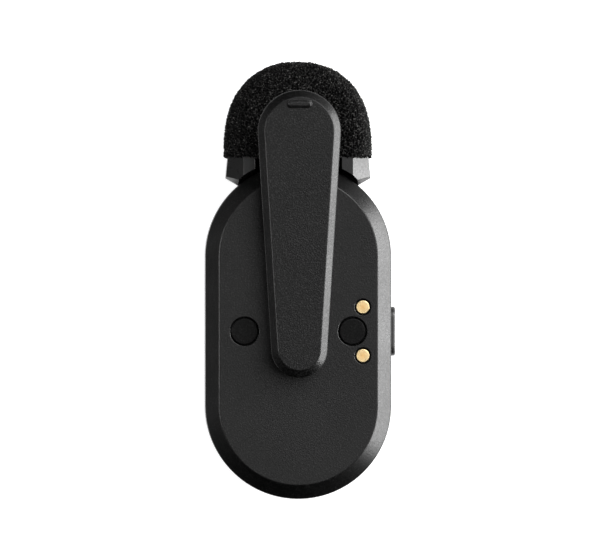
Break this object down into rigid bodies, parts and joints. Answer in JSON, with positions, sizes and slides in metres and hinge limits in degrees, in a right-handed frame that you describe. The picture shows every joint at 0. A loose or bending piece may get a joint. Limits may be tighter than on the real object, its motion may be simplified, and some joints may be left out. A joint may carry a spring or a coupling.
{
  "type": "lavalier microphone",
  "caption": "Clip-on wireless lavalier microphone: bevelled pill-shaped case with a sprung rear clip, side button, charging contacts, dock magnets and a pull-off foam windscreen.",
  "frame": {"origin": "centre of the front plate's outer face, the face that the microphone lies on", "axes": "+Z from the front plate towards the clip on the rear, +Y towards the windscreen, +X towards the side button"},
  "size_m": [0.0257, 0.0587, 0.0186],
  "materials": {
    "case_plastic": "fine-grained black polycarbonate",
    "plate_plastic": "smooth black acrylic",
    "clip_plastic": "coarse-grained black nylon",
    "collar_plastic": "satin black plastic",
    "windscreen_foam": "open-cell black foam",
    "button_plastic": "smooth black plastic",
    "cap_plastic": "smooth black plastic",
    "magnet_nickel": "nickel-plated magnet",
    "contact_gold": "gold plate",
    "steel": "satin stainless steel",
    "board_laminate": "green solder mask",
    "chip_epoxy": "black moulded epoxy",
    "passive_ceramic": "tan ceramic",
    "light_plastic": "milky diffusing plastic",
    "insert_plastic": "black glass-filled plastic",
    "cell_pouch": "foil battery pouch",
    "pad_foam": "compressed foam pad",
    "socket_plastic": "natural nylon",
    "lead_red": "red wire insulation",
    "lead_black": "black wire insulation",
    "antenna_copper": "copper foil",
    "flex_film": "amber polyimide film",
    "rubber": "black silicone rubber"
  },
  "bodies": {
    "case": {"front_shell": "case_plastic", "rear_shell": "case_plastic", "front_plate": "plate_plastic", "case_screws": "steel", "main_board": "board_laminate", "shield_can": "steel", "radio_chip": "chip_epoxy", "memory_chip": "chip_epoxy", "codec_chip": "chip_epoxy", "power_chip": "chip_epoxy", "board_passives": "passive_ceramic", "status_led": "light_plastic", "light_pipe": "light_plastic", "usb_shell": "steel", "usb_tongue": "insert_plastic", "usb_contacts": "contact_gold", "battery_cell": "cell_pouch", "battery_tape": "pad_foam", "battery_pad": "pad_foam", "battery_socket": "socket_plastic", "battery_lead_red": "lead_red", "battery_lead_black": "lead_black", "antenna_strip": "antenna_copper", "switch_body": "insert_plastic", "magnet_left": "magnet_nickel", "magnet_right": "magnet_nickel", "magnet_cap_left": "cap_plastic", "magnet_cap_right": "cap_plastic", "charging_contact_upper": "contact_gold", "charging_contact_lower": "contact_gold", "contact_flex": "flex_film", "mic_neck": "case_plastic", "neck_mesh": "steel", "neck_ring": "rubber", "capsule_boot": "rubber", "mic_capsule": "steel", "capsule_leads": "lead_black", "clip_bracket": "steel", "bracket_screws": "steel", "clip_pin": "steel", "clip_spring": "steel"},
    "clip": {"clip_lever": "clip_plastic", "jaw_pad": "rubber"},
    "button": {"power_button": "button_plastic", "switch_plunger": "button_plastic"},
    "windscreen": {"windscreen_collar": "collar_plastic", "foam_windscreen": "windscreen_foam"}
  },
  "joints": [
    {"name": "clip_hinge", "type": "hinge", "parent": "case", "child": "clip", "pos_m": [0, 0.0162, 0.0146], "axis": [-1, 0, 0], "range_deg": [0, 16], "stiffness_Nm_per_rad": 0.008, "springref_deg": -17.19, "deforming": ["clip_spring"]},
    {"name": "button_press", "type": "slide", "parent": "case", "child": "button", "axis": [-1, 0, 0], "range_m": [0, 0.0003], "stiffness_N_per_m": 200},
    {"name": "windscreen_pull", "type": "slide", "parent": "case", "child": "windscreen", "axis": [0, 1, 0], "range_m": [0, 0.014]}
  ]
}
